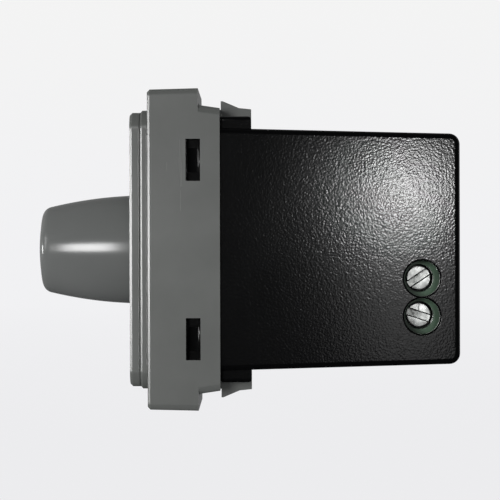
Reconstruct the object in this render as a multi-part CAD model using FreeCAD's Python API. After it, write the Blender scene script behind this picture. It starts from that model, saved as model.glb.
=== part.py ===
import FreeCAD, Part
import os
from math import cos, pi, radians, sin, sqrt

# Snap-in rotary dimmer module, in millimetres.
# The origin lies on the knob's axis, in the plane of the flange's rear seat.
# +Z is up, the knob points along -Y and the terminal screws face +X.

Vector = FreeCAD.Vector

# Clearances
slide_gap = 0.3
running_gap = 0.05
fit_gap = 0.05
skin_gap = 0.1

# Flange, bezel and shoulder of the front frame
flange_width = 24.8
flange_height = 50.5
flange_depth = 7.95
flange_taper = 0.2
flange_corner = 1.0
flange_edge = 0.4
step_side_inset = 0.9
step_end_inset = 3.3
step_depth = 1.1
step_corner = 3.0
step_edge = 0.25
bezel_inset = 0.35
bezel_depth = 1.75
bezel_corner = 2.7
bezel_edge = 0.4
shoulder_end_inset = 2.6
shoulder_depth = 3.4
shoulder_taper = 0.5
shoulder_corner = 1.2
shoulder_side_wall = 1.5
shoulder_end_wall = 1.5
face_wall = 1.6
pocket_wall = 1.4
rib_thickness = 0.8
rib_height = 2.4
well_depth = 2.4

# Windows for the snap hooks
window_depth = 2.3
window_height = 6.6
window_rear = 0.35
window_offset = 14.0
hook_height = 3.75
hook_depth = 1.85
hook_crest = 0.25
hook_rear_gap = 0.1
hook_sink = 0.5

# Latches
latch_width = 13.0
latch_thickness = 1.5
latch_room = 1.95
latch_barb_rise = 1.1
latch_barb_crest = 0.3
latch_barb_length = 2.9
latch_pivot_depth = 5.4
latch_bead_radius = 1.0
latch_pin_radius = 0.6
latch_pin_length = 1.0
latch_edge = 0.3

# Rear housing
housing_side_inset = 0.5
housing_end_inset = 3.63
housing_draft = 1.0
housing_wall = 1.2
housing_rear_radius = 1.6
housing_edge = 0.9
tongue_length = 6.0
tongue_wall = 1.0
tongue_end_inset = 0.45
ear_inset = 0.7
ear_latch_gap = 0.7
ear_rise = 1.85
ear_length = 4.95
ear_edge = 0.6
rail_width = 0.8
rail_overlap = 0.8

# Knob
knob_length = 16.1
knob_foot_diameter = 17.5
knob_tip_diameter = 13.8
knob_bulge = 0.39
knob_edge = 1.7
knob_dome = 0.6
knob_side_steps = 3
knob_edge_steps = 3
knob_dome_steps = 2
knob_wall = 1.35
knob_side_gap = 0.45
knob_travel = 1.2
knob_stop_gap = 0.4
knob_boss_radius = 4.6
knob_recess_depth = 10.0
knob_bore_depth = 8.8

# Control shaft with its flat and drive flats
shaft_radius = 3.0
shaft_flat = 1.5
shaft_drive_flat = 2.4
shaft_collar_radius = 3.6
shaft_collar_length = 1.0
clip_thickness = 0.4
clip_width = 3.8
clip_length = 6.5

# Rotary control
bushing_radius = 4.5
bushing_length = 5.6
bushing_flange_radius = 5.5
bushing_flange_thickness = 0.7
washer_radius = 6.4
washer_thickness = 0.5
nut_flats = 12.0
nut_thickness = 2.0
case_radius = 7.5
case_depth = 4.9
case_wall = 0.6
case_front_wall = 1.0
turn_half_range = 145.0
rotor_side_gap = 0.7
rotor_thickness = 1.2
rotor_hub_radius = 4.2
rotor_hub_length = 1.4
rotor_lug_half_angle = 10.0
stop_spare_angle = 1.0
wiper_thickness = 0.2
wiper_finger_width = 1.2
track_width = 1.4
track_rim = 1.2
track_thickness = 0.1
track_half_angle = 150.0
wafer_thickness = 1.0
lug_thickness = 0.3
lug_width = 1.2
lug_pitch = 5.0
lug_length_on_wafer = 1.6

# Push switch
switch_width = 14.4
switch_height = 13.0
switch_cover_thickness = 1.0
switch_base_depth = 8.8
chamber_radius = 4.5
chamber_floor = 1.2
plunger_flange_thickness = 1.55
plunger_stem_radius = 2.5
plunger_spigot_radius = 1.6
plunger_spigot_length = 2.8
spring_wire_radius = 0.3
spring_mean_radius = 2.7
spring_turns = 4
spring_wire_sides = 4
switch_terminal_width = 2.0
switch_terminal_pitch = 7.0
switch_terminal_thickness = 0.3
switch_terminal_length = 9.0

# Circuit board, its sheet and its leads
board_gap_to_case = 0.1
board_thickness = 1.6
board_side_gap = 0.45
board_rear_gap = 0.8
board_end_margin = 0.1
lead_stub = 0.4
lead_width = 0.5
lead_hole_gap = 0.06
sheet_thickness = 0.3

# Parts on the board
choke_radius = 6.0
choke_core_radius = 2.6
choke_winding_radius = 5.2
choke_flange_thickness = 1.2
choke_length = 11.0
choke_switch_gap = 1.9
choke_rail_gap = 0.9
choke_lead_pitch = 8.0
choke_lead_gap = 0.1
film_length = 13.0
film_width = 7.0
film_tall = 11.0
film_edge = 0.6
film_switch_gap = 1.6
film_rail_gap = 1.8
film_lead_pitch = 10.0
smoothing_radius = 3.15
smoothing_tall = 9.0
smoothing_edge = 0.4
smoothing_choke_gap = 1.25
smoothing_sink_gap = 7.25
smoothing_lead_pitch = 2.5
varistor_radius = 3.6
varistor_thickness = 3.2
varistor_standoff = 0.6
varistor_edge = 0.7
varistor_switch_gap = 3.7
varistor_choke_gap = 1.0
varistor_lead_pitch = 5.0
fuse_radius = 1.2
fuse_length = 7.0
fuse_standoff = 0.5
fuse_lead_run = 1.2
fuse_film_gap = 1.9
fuse_offset_from_film = 1.8
fuse_block_gap = 2.0
chip_length = 5.0
chip_width = 3.9
chip_tall = 1.5
chip_smoothing_gap = 1.55
chip_block_gap = 1.79
chip_pin_count = 4
chip_pin_pitch = 1.27
chip_pin_width = 0.4
chip_pin_reach = 1.0
sink_thickness = 1.2
sink_length = 14.2
sink_tall = 16.8
sink_choke_gap = 1.1
sink_rail_gap = 0.3
sink_lead_pitch = 9.0
transistor_width = 6.4
transistor_tall = 6.6
transistor_thickness = 2.3
transistor_lift = 4.4
transistor_pitch = 7.2
transistor_tab_thickness = 0.5
transistor_tab_width = 5.2
transistor_tab_tall = 2.0
transistor_lead_pitch = 2.3

# Terminals
upper_screw_height = -4.64
terminal_pitch = 5.9
driver_hole_diameter = 5.6
driver_hole_edge = 0.25
screw_head_radius = 1.9
screw_head_thickness = 1.7
screw_head_top = 5.3
screw_slot_width = 1.0
screw_slot_depth = 0.9
screw_radius = 1.5
screw_length = 4.5
screw_head_edge = 0.25
upper_slot_angle = 34.0
lower_slot_angle = -18.0
screw_seat_gap = 0.2
web_thickness = 1.0
head_recess_gap = 0.3
cage_width = 4.9
cage_tall = 5.9
cage_depth = 4.2
cage_top_wall = 1.4
cage_floor = 0.9
cage_side_wall = 0.6
cage_lift = 1.75
cage_stop_gap = 0.25
strip_thickness = 1.0
strip_width = 3.0
strip_foot_gap = 0.4
block_top = 7.0
block_end_wall = 1.35
block_front_wall = 2.0
block_rear_wall = 1.8
block_overhang = 0.2
wire_entry_radius = 1.75
wire_funnel = 0.4
nose_width = 7.6
nose_inset = 0.3
nose_gap = 0.15

# Outside sizes that follow from the flange
step_width = flange_width - 2 * step_side_inset
step_height = flange_height - 2 * step_end_inset
bezel_width = step_width - 2 * bezel_inset
bezel_height = step_height - 2 * bezel_inset
shoulder_height = flange_height - 2 * shoulder_end_inset
housing_width = flange_width - 2 * housing_side_inset
housing_front_height = shoulder_height - 2 * housing_end_inset
housing_rear_height = housing_front_height - 2 * housing_draft
tongue_height = housing_front_height - 2 * tongue_end_inset
latch_outer_height = housing_front_height / 2 + latch_room + latch_thickness
latch_barb_height = latch_outer_height + latch_barb_rise
latch_end = shoulder_depth + ear_length
latch_centre = latch_outer_height - latch_thickness / 3
ear_height = housing_front_height / 2 + ear_rise
ear_width = housing_width / 2 - ear_inset - latch_width / 2 - ear_latch_gap
board_height = housing_rear_height - 2 * (housing_wall + board_side_gap)
rail_line = board_height / 2 - rail_overlap

# Radii inside the rotary control
rotor_radius = case_radius - case_wall - rotor_side_gap
track_outer_radius = case_radius - track_rim
track_inner_radius = track_outer_radius - track_width

# Places along the depth that several pieces share
bezel_front = -(flange_depth + step_depth + bezel_depth)
well_floor = bezel_front + well_depth
face_rear = well_floor + face_wall
knob_foot = well_floor - knob_travel - knob_stop_gap
knob_front = knob_foot - knob_length
bushing_front = face_rear - bushing_length
boss_end = bushing_front - knob_travel - knob_stop_gap
bore_end = boss_end - knob_bore_depth
case_rear = face_rear + case_depth
flange_inside = face_rear + case_front_wall
rotor_front = flange_inside + bushing_flange_thickness + slide_gap
rotor_rear = rotor_front + rotor_thickness + rotor_hub_length
wafer_rear = case_rear + wafer_thickness
collar_front = rotor_rear + 2 * skin_gap
shaft_rear = collar_front + shaft_collar_length
switch_front = wafer_rear + lug_thickness + 2 * skin_gap
switch_parting = switch_front + switch_cover_thickness
switch_rear = switch_parting + switch_base_depth
chamber_end = switch_rear - chamber_floor
plunger_flange_front = switch_parting + running_gap
plunger_flange_rear = plunger_flange_front + plunger_flange_thickness

# Places across the width that several pieces share
cavity_width = flange_width - 2 * shoulder_side_wall
cavity_height = shoulder_height - 2 * shoulder_end_wall
tongue_width = cavity_width - 2 * 3 * fit_gap
housing_inside = housing_width / 2 - housing_wall
board_top = -(case_radius + board_gap_to_case)
board_under = board_top - board_thickness
lead_end = board_under - lead_stub
lower_screw_height = upper_screw_height - terminal_pitch
block_middle_height = (upper_screw_height + lower_screw_height) / 2
switch_back = switch_rear + switch_terminal_thickness

# Places of the parts on the board, as depth and height of each middle
choke_spot = (
    switch_back + choke_switch_gap + choke_radius,
    rail_line - choke_rail_gap - choke_radius,
)
film_spot = (
    switch_back + film_switch_gap + film_length / 2,
    -rail_line + film_rail_gap + film_width / 2,
)
varistor_spot = (
    switch_back + varistor_switch_gap + varistor_thickness / 2,
    choke_spot[1] - choke_radius - varistor_choke_gap - varistor_radius,
)
sink_spot = (
    choke_spot[0] + choke_radius + sink_choke_gap + sink_length / 2,
    rail_line - sink_rail_gap - sink_thickness / 2,
)
smoothing_spot = (
    choke_spot[0] + choke_radius + smoothing_choke_gap + smoothing_radius,
    sink_spot[1] - sink_thickness / 2 - smoothing_sink_gap - smoothing_radius,
)
fuse_spot = (
    film_spot[0] + film_length / 2 + fuse_film_gap + fuse_radius,
    film_spot[1] + fuse_offset_from_film,
)

# Places of the terminals and of the module's rear end
head_underside = screw_head_top - screw_head_thickness
web_top = head_underside - screw_seat_gap
web_under = web_top - web_thickness
cage_top = web_under - cage_lift - cage_stop_gap
cage_bottom = cage_top - cage_tall
strip_top = cage_top - cage_top_wall - slide_gap
strip_bottom = strip_top - strip_thickness
chamber_width = cage_width + 2 * slide_gap
block_front = fuse_spot[0] + fuse_radius + fuse_block_gap
chamber_front = block_front + block_front_wall
screw_depth = chamber_front + slide_gap + cage_depth / 2
chamber_rear = screw_depth + cage_depth / 2 + slide_gap
block_rear = chamber_rear + block_rear_wall
block_height = terminal_pitch + chamber_width + 2 * block_end_wall
wire_height = (cage_bottom + cage_floor + strip_bottom) / 2
sink_end = sink_spot[0] + sink_length / 2
board_rear = max(block_rear - block_overhang, sink_end + board_end_margin)
housing_rear = board_rear + board_rear_gap + housing_wall
board_front = case_rear
chip_spot = (
    smoothing_spot[0] + smoothing_radius + chip_smoothing_gap + chip_length / 2,
    block_middle_height + block_height / 2 + chip_block_gap + chip_pin_reach + chip_width / 2,
)


def box(x_span, y_span, z_span):
    """Block between two values on each axis."""
    size = [high - low for low, high in (x_span, y_span, z_span)]
    return Part.makeBox(size[0], size[1], size[2], Vector(x_span[0], y_span[0], z_span[0]))


def rod(radius, start, end):
    """Round bar between two points."""
    run = Vector(*end) - Vector(*start)
    return Part.makeCylinder(radius, run.Length, Vector(*start), run)


def tube(outer, inner, start, end):
    """Round bar with a bore right through."""
    return rod(outer, start, end).cut(rod(inner, start, end))


def rounded_wire(width, height, radius, depth):
    """Rounded rectangle that lies across the depth."""
    x, z = width / 2, height / 2
    bend = radius * (1 - sqrt(0.5))
    arcs = []
    for side, end in ((1, 1), (-1, 1), (-1, -1), (1, -1)):
        flank = Vector(side * x, depth, end * (z - radius))
        middle = Vector(side * (x - bend), depth, end * (z - bend))
        top = Vector(side * (x - radius), depth, end * z)
        first, last = (flank, top) if side * end > 0 else (top, flank)
        arcs.append((first, middle, last))
    edges = []
    for index, (first, middle, last) in enumerate(arcs):
        following = arcs[(index + 1) % len(arcs)][0]
        edges.append(Part.Arc(first, middle, last).toShape())
        edges.append(Part.makeLine(last, following))
    return Part.Wire(edges)


def rounded_block(width, height, front, rear, radius):
    """Straight block with rounded corners, between two depths."""
    face = Part.Face(rounded_wire(width, height, radius, front))
    return face.extrude(Vector(0, rear - front, 0))


def tapered_block(front_size, rear_size, front, rear, radius):
    """Block whose width and height change along the depth, with rounded corners."""
    near_x, near_z = front_size[0] / 2, front_size[1] / 2
    far_x, far_z = rear_size[0] / 2, rear_size[1] / 2
    wedge = Part.makeWedge(
        -near_x, front, -near_z, -far_z, -far_x, near_x, rear, near_z, far_z, far_x
    )
    long_edges = []
    for edge in wedge.Edges:
        depths = [vertex.Y for vertex in edge.Vertexes]
        if abs(max(depths) - min(depths)) > (rear - front) / 2:
            long_edges.append(edge)
    return wedge.makeFillet(radius, long_edges)


def edges_at(shape, axis, value):
    """Edges that lie wholly in one plane square to an axis."""
    flat = []
    for edge in shape.Edges:
        ends = [getattr(vertex, axis) for vertex in edge.Vertexes]
        if all(abs(end - value) < 1e-4 for end in ends):
            flat.append(edge)
    return flat


def prism(points, run):
    """Straight-sided outline pushed along a vector."""
    corners = [Vector(*point) for point in points]
    outline = Part.makePolygon(corners + corners[:1])
    return Part.Face(outline).extrude(Vector(*run))


def sector(inner, outer, start_angle, end_angle, front, rear):
    """Part of a ring about the knob's axis, with angles from +X towards +Z."""
    turn = radians(end_angle - start_angle)
    spots = []
    for radius in (inner, outer):
        for share in (0.0, 0.5, 1.0):
            angle = radians(start_angle) + turn * share
            spots.append(Vector(radius * cos(angle), front, radius * sin(angle)))
    edges = [
        Part.Arc(spots[0], spots[1], spots[2]).toShape(),
        Part.makeLine(spots[2], spots[5]),
        Part.Arc(spots[5], spots[4], spots[3]).toShape(),
        Part.makeLine(spots[3], spots[0]),
    ]
    return Part.Face(Part.Wire(edges)).extrude(Vector(0, rear - front, 0))


def mirrored(shape):
    """The same shape below the knob's axis."""
    return shape.mirror(Vector(0, 0, 0), Vector(0, 0, 1))


# Front frame

def latch_channel():
    """Room for the upper latch and its pivot pins."""
    half = latch_width / 2 + slide_gap
    front = -latch_pivot_depth - latch_bead_radius - slide_gap
    top = latch_centre + latch_bead_radius + slide_gap
    channel = box((-half, half), (front, 2 * shoulder_depth), (cavity_height / 2 - 1.0, top))
    reach = latch_width / 2 + latch_pin_length + slide_gap
    pivot = rod(
        latch_pin_radius + running_gap,
        (-reach, -latch_pivot_depth, latch_centre),
        (reach, -latch_pivot_depth, latch_centre),
    )
    return channel.fuse(pivot)


def hook_window(side, height):
    """Window right through one side wall, in which a hook catches."""
    x_span = sorted((side * (cavity_width / 2 - 1.0), side * (flange_width / 2 + 1.0)))
    z_span = (height - window_height / 2, height + window_height / 2)
    return box(x_span, (window_rear - window_depth, window_rear), z_span)


def front_frame():
    """Grey moulding: flange, stepped bezel with the knob's well, and shoulder."""
    flange = tapered_block(
        (flange_width, flange_height - 2 * flange_taper),
        (flange_width, flange_height),
        -flange_depth,
        0.0,
        flange_corner,
    )
    flange = flange.makeChamfer(flange_edge, edges_at(flange, "Y", -flange_depth))
    step_front = -flange_depth - step_depth
    step = rounded_block(step_width, step_height, step_front, face_rear, step_corner)
    step = step.makeChamfer(step_edge, edges_at(step, "Y", step_front))
    bezel = rounded_block(bezel_width, bezel_height, bezel_front, face_rear, bezel_corner)
    bezel = bezel.makeChamfer(bezel_edge, edges_at(bezel, "Y", bezel_front))
    shoulder = tapered_block(
        (flange_width, shoulder_height + 2 * shoulder_taper),
        (flange_width, shoulder_height - 2 * shoulder_taper),
        -shoulder_depth,
        shoulder_depth,
        shoulder_corner,
    )
    frame = flange.fuse([step, bezel, shoulder]).removeSplitter()
    cavity = rounded_block(cavity_width, cavity_height, face_rear, 2 * shoulder_depth, shoulder_corner)
    well_radius = knob_foot_diameter / 2 + knob_side_gap
    well = rod(well_radius, (0, bezel_front - 1, 0), (0, well_floor, 0))
    hole = rod(bushing_radius + fit_gap, (0, bezel_front - 1, 0), (0, 0, 0))
    cuts = [cavity, well, hole]
    pocket_low = well_radius + pocket_wall
    pocket_high = bezel_height / 2 - pocket_wall
    pocket_half = bezel_width / 2 - pocket_wall
    for end in (1, -1):
        heights = sorted((end * pocket_low, end * pocket_high))
        pocket = box((-pocket_half, pocket_half), (bezel_front + pocket_wall, 0), heights)
        cuts.append(pocket)
    for side in (1, -1):
        for height in (window_offset, -window_offset):
            cuts.append(hook_window(side, height))
    channel = latch_channel()
    cuts.extend([channel, mirrored(channel)])
    frame = frame.cut(cuts)
    ribs = []
    rib_low = case_radius + 2 * slide_gap
    for end in (1, -1):
        heights = sorted((end * rib_low, end * (rib_low + rib_thickness)))
        half = cavity_width / 2 + 0.5
        ribs.append(box((-half, half), (face_rear - 0.5, face_rear + rib_height), heights))
    return frame.fuse(ribs).removeSplitter()


def upper_latch():
    """Spring tongue with its barb, hung on two short pivot pins."""
    half = latch_width / 2
    inner = latch_outer_height - latch_thickness
    barb_front = shoulder_depth + skin_gap
    crest_end = barb_front + latch_barb_crest
    ramp_end = barb_front + latch_barb_length
    outline = [
        (-half, -latch_pivot_depth, inner),
        (-half, latch_end, inner),
        (-half, latch_end, latch_outer_height - 2 * skin_gap),
        (-half, ramp_end, latch_outer_height),
        (-half, crest_end, latch_barb_height),
        (-half, barb_front, latch_barb_height),
        (-half, barb_front, latch_outer_height - latch_edge),
        (-half, -latch_pivot_depth, latch_outer_height - latch_edge),
    ]
    arm = prism(outline, (latch_width, 0, 0))
    bead = rod(
        latch_bead_radius,
        (-half, -latch_pivot_depth, latch_centre),
        (half, -latch_pivot_depth, latch_centre),
    )
    reach = half + latch_pin_length
    pins = rod(
        latch_pin_radius,
        (-reach, -latch_pivot_depth, latch_centre),
        (reach, -latch_pivot_depth, latch_centre),
    )
    return arm.fuse([bead, pins]).removeSplitter()


def lower_latch():
    """The same tongue below."""
    return mirrored(upper_latch())


# Rear housing

def side_profile(inset):
    """Side outline of the housing, drawn in from its outside by an inset."""
    front = shoulder_depth + inset
    rear = housing_rear - inset
    slope = (housing_front_height - housing_rear_height) / 2 / (housing_rear - shoulder_depth)
    front_half = housing_front_height / 2 - slope * inset - inset
    rear_half = housing_rear_height / 2 + slope * inset - inset
    radius = max(housing_rear_radius - inset, 0.2)
    near = rear - radius
    bend = radius * sqrt(0.5)
    low = rear_half - radius
    rise = rear_half + slope * radius
    points = [
        Vector(0, front, -front_half),
        Vector(0, front, front_half),
        Vector(0, near, rise),
        Vector(0, rear, low),
        Vector(0, rear, -low),
        Vector(0, near, -rise),
    ]
    upper = Part.Arc(points[2], Vector(0, near + bend, low + bend), points[3])
    lower = Part.Arc(points[4], Vector(0, near + bend, -low - bend), points[5])
    edges = [
        Part.makeLine(points[0], points[1]),
        Part.makeLine(points[1], points[2]),
        upper.toShape(),
        Part.makeLine(points[3], points[4]),
        lower.toShape(),
        Part.makeLine(points[5], points[0]),
    ]
    return Part.Face(Part.Wire(edges))


def housing_solid(inset):
    """The housing's outer or inner block."""
    half = housing_width / 2 - inset
    face = side_profile(inset)
    face.translate(Vector(-half, 0, 0))
    return face.extrude(Vector(2 * half, 0, 0))


def housing_shell():
    """Drafted box whose side edges are softly rounded, but for those at the front frame."""
    outer = housing_solid(0.0)
    half = housing_width / 2
    edges = edges_at(outer, "X", half) + edges_at(outer, "X", -half)
    rounded = [edge for edge in edges if edge.CenterOfMass.y > shoulder_depth + housing_edge]
    return outer.makeFillet(housing_edge, rounded)


def snap_hook(side, height):
    """Ramped hook that catches the rear edge of its window."""
    wall = side * (tongue_width / 2 - tongue_wall / 2)
    skin = side * tongue_width / 2
    crest = side * (flange_width / 2 - hook_sink)
    rear = window_rear - hook_rear_gap
    low = height - hook_height / 2
    outline = [
        (wall, rear - hook_depth, low),
        (skin, rear - hook_depth, low),
        (crest, rear - hook_crest, low),
        (crest, rear, low),
        (wall, rear, low),
    ]
    return prism(outline, (0, 0, hook_height))


def housing_ear(side):
    """Upper ear beside the latch."""
    outer = side * (housing_width / 2 - ear_inset)
    inner = outer - side * ear_width
    span = (shoulder_depth, shoulder_depth + ear_length)
    ear = box(sorted((outer, inner)), span, (housing_rear_height / 2 - housing_wall, ear_height))
    return ear.makeFillet(ear_edge, edges_at(ear, "Z", ear_height))


def board_rails():
    """Two pairs of rails that hold the board's long edges."""
    rails = []
    reach = housing_front_height / 2
    above = (board_top + fit_gap, board_top + fit_gap + rail_width)
    below = (board_under - fit_gap - rail_width, board_under - fit_gap)
    for x_span in (above, below):
        for end in (1, -1):
            heights = sorted((end * rail_line, end * reach))
            rail = box(x_span, (shoulder_depth + housing_wall, housing_rear - housing_wall), heights)
            rails.append(rail)
    return rails


def nose_window():
    """Opening in the rear wall for the terminal block's nose."""
    half = (block_height - 2 * block_end_wall) / 2 + nose_gap + block_end_wall / 2
    middle = wire_height
    return box(
        (middle - nose_width / 2 - nose_gap, middle + nose_width / 2 + nose_gap),
        (housing_rear - 2 * housing_wall, housing_rear + 1),
        (block_middle_height - half, block_middle_height + half),
    )


def rear_housing():
    """Black moulding that closes the module and carries the snap hooks."""
    outer = housing_shell()
    tongue_front = shoulder_depth - tongue_length
    tongue_rear = shoulder_depth + housing_wall
    tongue = rounded_block(tongue_width, tongue_height, tongue_front, tongue_rear, shoulder_corner)
    adds = [tongue]
    for side in (1, -1):
        ear = housing_ear(side)
        adds.extend([ear, mirrored(ear)])
        for height in (window_offset, -window_offset):
            adds.append(snap_hook(side, height))
    shell = outer.fuse(adds).removeSplitter()
    inside = housing_solid(housing_wall)
    throat = rounded_block(
        tongue_width - 2 * tongue_wall,
        tongue_height - 2 * tongue_wall,
        tongue_front - 1,
        tongue_rear + housing_wall,
        shoulder_corner / 2,
    )
    holes = [nose_window()]
    radius = driver_hole_diameter / 2
    for height in (upper_screw_height, lower_screw_height):
        start = (0, screw_depth, height)
        holes.append(rod(radius, start, (housing_width, screw_depth, height)))
        mouth = Vector(housing_width / 2 - driver_hole_edge, screw_depth, height)
        across = Vector(1, 0, 0)
        holes.append(Part.makeCone(radius, radius + driver_hole_edge, driver_hole_edge, mouth, across))
    shell = shell.cut([inside, throat] + holes)
    rails = [rail.common(housing_solid(housing_wall / 2)) for rail in board_rails()]
    return shell.fuse(rails).removeSplitter()


# Knob and shaft

def knob_outline():
    """Half section of the knob: bellied side, rounded edge and shallow dome in short cones."""
    foot = knob_foot_diameter / 2
    tip = knob_tip_diameter / 2
    rim = tip - knob_edge
    edge_start = knob_front + knob_dome + knob_edge
    points = [Vector(0, knob_foot, 0)]
    for index in range(knob_side_steps + 1):
        share = index / knob_side_steps
        out = foot + (tip - foot) * share + 4 * knob_bulge * share * (1 - share)
        points.append(Vector(out, knob_foot + (edge_start - knob_foot) * share, 0))
    for index in range(1, knob_edge_steps + 1):
        angle = pi / 2 * index / knob_edge_steps
        points.append(Vector(rim + knob_edge * cos(angle), edge_start - knob_edge * sin(angle), 0))
    for index in range(1, knob_dome_steps + 1):
        out = rim * (1 - index / knob_dome_steps)
        points.append(Vector(out, knob_front + knob_dome * (out / rim) ** 2, 0))
    return Part.Face(Part.makePolygon(points + points[:1]))


def knob():
    """Hollow push knob with a boss that grips the shaft."""
    body = knob_outline().revolve(Vector(0, 0, 0), Vector(0, 1, 0), 360)
    inner = knob_foot_diameter / 2 - knob_wall
    recess_end = knob_foot - knob_recess_depth
    hollow = rod(inner, (0, knob_foot + 1, 0), (0, boss_end, 0))
    narrow = inner - knob_bulge
    moat = tube(narrow, knob_boss_radius, (0, boss_end, 0), (0, recess_end, 0))
    bore = rod(shaft_radius + fit_gap, (0, boss_end, 0), (0, bore_end, 0))
    above = shaft_flat + clip_thickness + fit_gap
    flat = box((-shaft_radius, shaft_radius), (bore_end, boss_end), (above, 2 * shaft_radius))
    return body.cut([hollow, moat, bore.cut(flat)])


def knob_spring_clip():
    """Steel strip between the shaft's flat and the boss."""
    front = bore_end + slide_gap
    half = clip_width / 2
    heights = (shaft_flat, shaft_flat + clip_thickness)
    return box((-half, half), (front, front + clip_length), heights)


def control_shaft():
    """Plastic shaft with a flat for the knob, drive flats and an end collar."""
    front = bore_end + slide_gap
    shaft = rod(shaft_radius, (0, front, 0), (0, collar_front, 0))
    grip = box(
        (-shaft_radius, shaft_radius), (front, boss_end + slide_gap), (shaft_flat, shaft_radius)
    )
    drive_front = rotor_front - knob_travel - slide_gap
    cuts = [grip]
    for end in (1, -1):
        heights = sorted((end * shaft_drive_flat, end * shaft_radius))
        flat = box((-shaft_radius, shaft_radius), (drive_front, collar_front), heights)
        cuts.append(flat)
    collar = rod(shaft_collar_radius, (0, collar_front, 0), (0, shaft_rear, 0))
    return shaft.cut(cuts).fuse(collar).removeSplitter()


# Rotary control

def control_bushing():
    """Brass bearing sleeve, flanged inside the case."""
    sleeve = rod(bushing_radius, (0, bushing_front, 0), (0, flange_inside, 0))
    rear = flange_inside + bushing_flange_thickness
    flange = rod(bushing_flange_radius, (0, flange_inside, 0), (0, rear, 0))
    bore = rod(shaft_radius + running_gap, (0, bushing_front - 1, 0), (0, rear + 1, 0))
    return sleeve.fuse(flange).cut(bore).removeSplitter()


def lock_washer():
    """Steel washer under the nut."""
    front = (0, well_floor - washer_thickness, 0)
    return tube(washer_radius, bushing_radius + fit_gap, front, (0, well_floor, 0))


def control_nut():
    """Thin hexagon nut that clamps the control to the front frame."""
    rear = well_floor - washer_thickness
    corner = nut_flats / 2 / cos(pi / 6)
    points = []
    for index in range(6):
        angle = index * pi / 3
        points.append((corner * cos(angle), rear - nut_thickness, corner * sin(angle)))
    hexagon = prism(points, (0, nut_thickness, 0))
    bore = rod(bushing_radius + fit_gap, (0, rear - nut_thickness - 1, 0), (0, rear + 1, 0))
    return hexagon.cut(bore)


def control_case():
    """Pressed cup of the rotary control, with its stop lug."""
    cup = rod(case_radius, (0, face_rear, 0), (0, case_rear, 0))
    inner = case_radius - case_wall
    room = rod(inner, (0, flange_inside, 0), (0, case_rear + 1, 0))
    hole = rod(bushing_radius + fit_gap, (0, face_rear - 1, 0), (0, flange_inside + 1, 0))
    lug_half = 180 - turn_half_range - rotor_lug_half_angle - stop_spare_angle
    lug = sector(
        rotor_radius + slide_gap,
        inner + case_wall / 2,
        270 - lug_half,
        270 + lug_half,
        flange_inside,
        rotor_front + rotor_thickness,
    )
    return cup.cut([room, hole]).fuse(lug).removeSplitter()


def wiper_rotor():
    """Moulded rotor that the shaft turns and slides through."""
    disc_rear = rotor_front + rotor_thickness
    disc = rod(rotor_radius, (0, rotor_front, 0), (0, disc_rear, 0))
    hub = rod(rotor_hub_radius, (0, disc_rear, 0), (0, rotor_rear, 0))
    lug = sector(
        rotor_radius - 1,
        case_radius - case_wall - slide_gap / 2,
        90 - rotor_lug_half_angle,
        90 + rotor_lug_half_angle,
        rotor_front,
        disc_rear,
    )
    bore = rod(shaft_radius + running_gap, (0, rotor_front - 1, 0), (0, rotor_rear + 1, 0))
    reach = shaft_radius + 1
    half = shaft_drive_flat + running_gap
    slot = box((-reach, reach), (rotor_front - 1, rotor_rear + 1), (-half, half))
    return disc.fuse([hub, lug]).cut(bore.common(slot)).removeSplitter()


def wiper_contact():
    """Sprung contact ring with two fingers on the track."""
    front = rotor_front + rotor_thickness
    rear = front + wiper_thickness
    inner = rotor_hub_radius + fit_gap
    ring = tube(rotor_radius - slide_gap, inner, (0, front, 0), (0, rear, 0))
    middle = (track_inner_radius + track_outer_radius) / 2
    tip = case_rear - track_thickness - skin_gap
    half = wiper_finger_width / 2
    length = 2 * wiper_finger_width
    fingers = []
    for side in (1, -1):
        x = side * middle
        points = [
            (x - half, front, -length / 2),
            (x - half, rear, -length / 2),
            (x - half, tip, length / 2),
            (x - half, tip - wiper_thickness, length / 2),
        ]
        fingers.append(prism(points, (wiper_finger_width, 0, 0)))
    return ring.fuse(fingers).removeSplitter()


def resistive_track():
    """Printed arc on the wafer, open at the bottom."""
    return sector(
        track_inner_radius,
        track_outer_radius,
        90 - track_half_angle,
        90 + track_half_angle,
        case_rear - track_thickness,
        case_rear,
    )


def track_wafer():
    """Laminate disc that closes the case and carries the track."""
    hole_radius = shaft_collar_radius + slide_gap
    return tube(case_radius, hole_radius, (0, case_rear, 0), (0, wafer_rear, 0))


def lug_heights():
    """Heights of the three track lugs."""
    return (-lug_pitch, 0.0, lug_pitch)


def track_lug(height, gap):
    """One flat lug from the wafer's rear face down through the board."""
    edge = sqrt(case_radius ** 2 - height ** 2)
    half = lug_width / 2 + gap
    span = (lead_end - gap, -edge + lug_length_on_wafer + gap)
    return box(span, (wafer_rear - gap, wafer_rear + lug_thickness + gap), (height - half, height + half))


def track_terminals():
    """Three lugs of the rotary control."""
    return Part.makeCompound([track_lug(height, 0.0) for height in lug_heights()])


# Push switch

def switch_cover():
    """Front plate of the switch, with the plunger's opening."""
    plate = box(
        (board_top, board_top + switch_width),
        (switch_front, switch_parting),
        (-switch_height / 2, switch_height / 2),
    )
    opening = shaft_collar_radius + slide_gap
    return plate.cut(rod(opening, (0, switch_front - 1, 0), (0, switch_parting + 1, 0)))


def switch_base():
    """Moulded switch body with the spring's chamber."""
    block = box(
        (board_top, board_top + switch_width),
        (switch_parting, switch_rear),
        (-switch_height / 2, switch_height / 2),
    )
    chamber = rod(chamber_radius, (0, switch_parting - 1, 0), (0, chamber_end, 0))
    return block.cut(chamber)


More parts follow.
